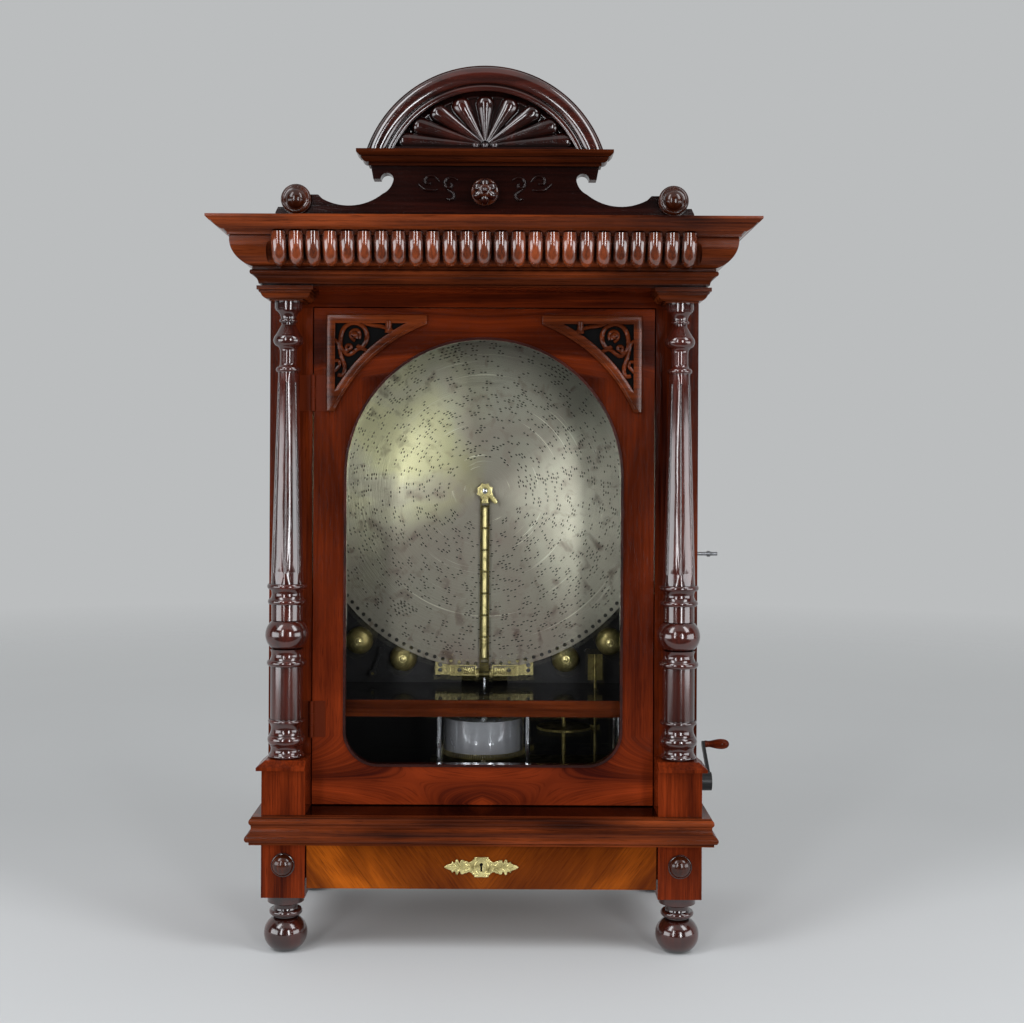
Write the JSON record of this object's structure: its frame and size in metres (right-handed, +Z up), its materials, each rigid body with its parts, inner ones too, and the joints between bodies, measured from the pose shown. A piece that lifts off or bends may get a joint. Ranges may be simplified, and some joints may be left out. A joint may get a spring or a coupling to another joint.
{
  "type": "upright disc music box",
  "caption": "Upright wooden disc music box with columns, fluted cornice, shell crest, glazed door, drawer, punched steel disc, bells, combs and a hand-cranked spring motor.",
  "frame": {"origin": "centre of the bounding box on the floor under the feet", "axes": "+Z up, +X to the right as seen from the front, the front faces -Y"},
  "size_m": [0.7123, 0.3996, 1.1596],
  "materials": {
    "dark_wood": "very dark polished walnut",
    "case_wood": "red-brown polished walnut veneer",
    "drawer_veneer": "orange-brown figured veneer",
    "plain_wood": "plain oiled wood",
    "glass": "clear flat glass",
    "disc_steel": "dull stained tinned steel",
    "steel": "bright turned steel",
    "brass": "aged brass",
    "black_iron": "black japanned casting",
    "black_enamel": "gloss black enamel"
  },
  "bodies": {
    "case": {"bun_feet": "dark_wood", "corner_posts": "case_wood", "post_rosettes": "dark_wood", "drawer_frame": "plain_wood", "base_board": "case_wood", "base_mouldings": "case_wood", "column_plinths": "dark_wood", "columns": "dark_wood", "capitals": "dark_wood", "case_sides": "case_wood", "front_frame": "case_wood", "back_panel": "plain_wood", "cornice_frame": "plain_wood", "case_top": "plain_wood", "bed_mouldings": "case_wood", "ovolo_mouldings": "case_wood", "crown_mouldings": "case_wood", "crest_board": "dark_wood", "crest_turnings": "dark_wood", "crest_shelf": "dark_wood", "crest_arch": "dark_wood", "crest_shell": "dark_wood", "hinge_leaves_case": "brass", "mechanism_shelf": "case_wood", "bedplate": "black_iron", "steel_combs": "steel", "disc_spindle": "steel", "bells": "brass", "bell_posts": "steel", "drive_bracket": "brass", "bracket_screws": "brass", "motor_plates": "brass", "motor_pillars": "steel", "shaft_bearings": "brass"},
    "door": {"door_frame": "case_wood", "door_glass": "glass", "glass_bead": "brass", "spandrels": "dark_wood", "hinge_leaves_door": "brass"},
    "drawer": {"drawer_front": "drawer_veneer", "drawer_box": "plain_wood", "drawer_escutcheon": "brass"},
    "disc": {"tune_disc": "disc_steel"},
    "barrel": {"spring_barrel": "steel", "barrel_gear": "brass"},
    "winding": {"winding_arbor": "steel", "winding_wheel": "steel"},
    "crank": {"crank_shaft": "steel", "crank_arm": "black_enamel"},
    "handle": {"crank_handle": "dark_wood"},
    "sprocket": {"drive_sprocket": "brass"},
    "second": {"second_wheel": "brass"},
    "third": {"third_wheel": "brass"},
    "governor": {"fly": "steel"},
    "bar": {"pressure_bar": "brass"},
    "rollers": {"pressure_rollers": "brass"},
    "stars": {"star_wheels": "steel"},
    "rod": {"start_rod": "steel"},
    "right_hammer": {"bell_hammer_right": "brass"},
    "left_hammer": {"bell_hammer_left": "brass"}
  },
  "joints": [
    {"name": "door_hinge", "type": "hinge", "parent": "case", "child": "door", "pos_m": [-0.22875, -0.08275, 0.5165], "axis": [0, 0, -1], "range_deg": [0, 85]},
    {"name": "drawer_slide", "type": "slide", "parent": "case", "child": "drawer", "axis": [0, -1, 0], "range_m": [0, 0.2]},
    {"name": "disc_spin", "type": "hinge", "parent": "case", "child": "disc", "pos_m": [0, 0.08675, 0.602], "axis": [0, 1, 0], "continuous": true},
    {"name": "barrel_spin", "type": "hinge", "parent": "case", "child": "barrel", "pos_m": [0, 0.04977, 0.25], "axis": [0, 0, 1], "continuous": true},
    {"name": "sprocket_spin", "type": "hinge", "parent": "case", "child": "sprocket", "pos_m": [0, 0.11577, 0.25], "axis": [0, 0, 1], "continuous": true},
    {"name": "second_spin", "type": "hinge", "parent": "case", "child": "second", "pos_m": [0.06375, 0.06685, 0.25], "axis": [0, 0, 1], "continuous": true},
    {"name": "third_spin", "type": "hinge", "parent": "case", "child": "third", "pos_m": [0.11476, 0.06239, 0.25], "axis": [0, 0, 1], "continuous": true},
    {"name": "governor_spin", "type": "hinge", "parent": "case", "child": "governor", "pos_m": [0.15956, 0.06239, 0.25], "axis": [0, 0, 1], "continuous": true},
    {"name": "crank_spin", "type": "hinge", "parent": "case", "child": "crank", "pos_m": [0.3, 0.04977, 0.19], "axis": [1, 0, 0], "continuous": true},
    {"name": "winding_spin", "type": "hinge", "parent": "case", "child": "winding", "pos_m": [0, 0.04977, 0.2], "axis": [0, 0, 1], "continuous": true},
    {"name": "handle_spin", "type": "hinge", "parent": "crank", "child": "handle", "pos_m": [0.34, 0.11905, 0.23], "axis": [1, 0, 0], "continuous": true},
    {"name": "bar_hinge", "type": "hinge", "parent": "case", "child": "bar", "pos_m": [0, 0.07875, 0.3365], "axis": [1, 0, 0], "range_deg": [0, 25]},
    {"name": "rollers_spin", "type": "hinge", "parent": "bar", "child": "rollers", "pos_m": [0, 0.0818, 0.47], "axis": [0, 0, 1], "continuous": true},
    {"name": "stars_spin", "type": "hinge", "parent": "case", "child": "stars", "pos_m": [0, 0.09325, 0.45], "axis": [0, 0, 1], "continuous": true},
    {"name": "start_slide", "type": "slide", "parent": "case", "child": "rod", "axis": [1, 0, 0], "range_m": [-0.008, 0]},
    {"name": "right_hammer_rock", "type": "hinge", "parent": "case", "child": "right_hammer", "pos_m": [0.163, 0.09825, 0.3346], "axis": [0, 1, 0], "range_deg": [-12, 12], "stiffness_Nm_per_rad": 0.08, "springref_deg": 0.4},
    {"name": "left_hammer_rock", "type": "hinge", "parent": "case", "child": "left_hammer", "pos_m": [-0.163, 0.09825, 0.3346], "axis": [0, 1, 0], "range_deg": [-12, 12], "stiffness_Nm_per_rad": 0.08, "springref_deg": -0.4}
  ],
  "couplings": [
    {"joint": "barrel_spin", "follows": "disc_spin", "ratio": 1.1954},
    {"joint": "sprocket_spin", "follows": "disc_spin", "ratio": -8.6667},
    {"joint": "second_spin", "follows": "disc_spin", "ratio": -8.6667},
    {"joint": "third_spin", "follows": "disc_spin", "ratio": 60.667},
    {"joint": "governor_spin", "follows": "disc_spin", "ratio": -364},
    {"joint": "winding_spin", "follows": "crank_spin", "ratio": -0.25}
  ]
}
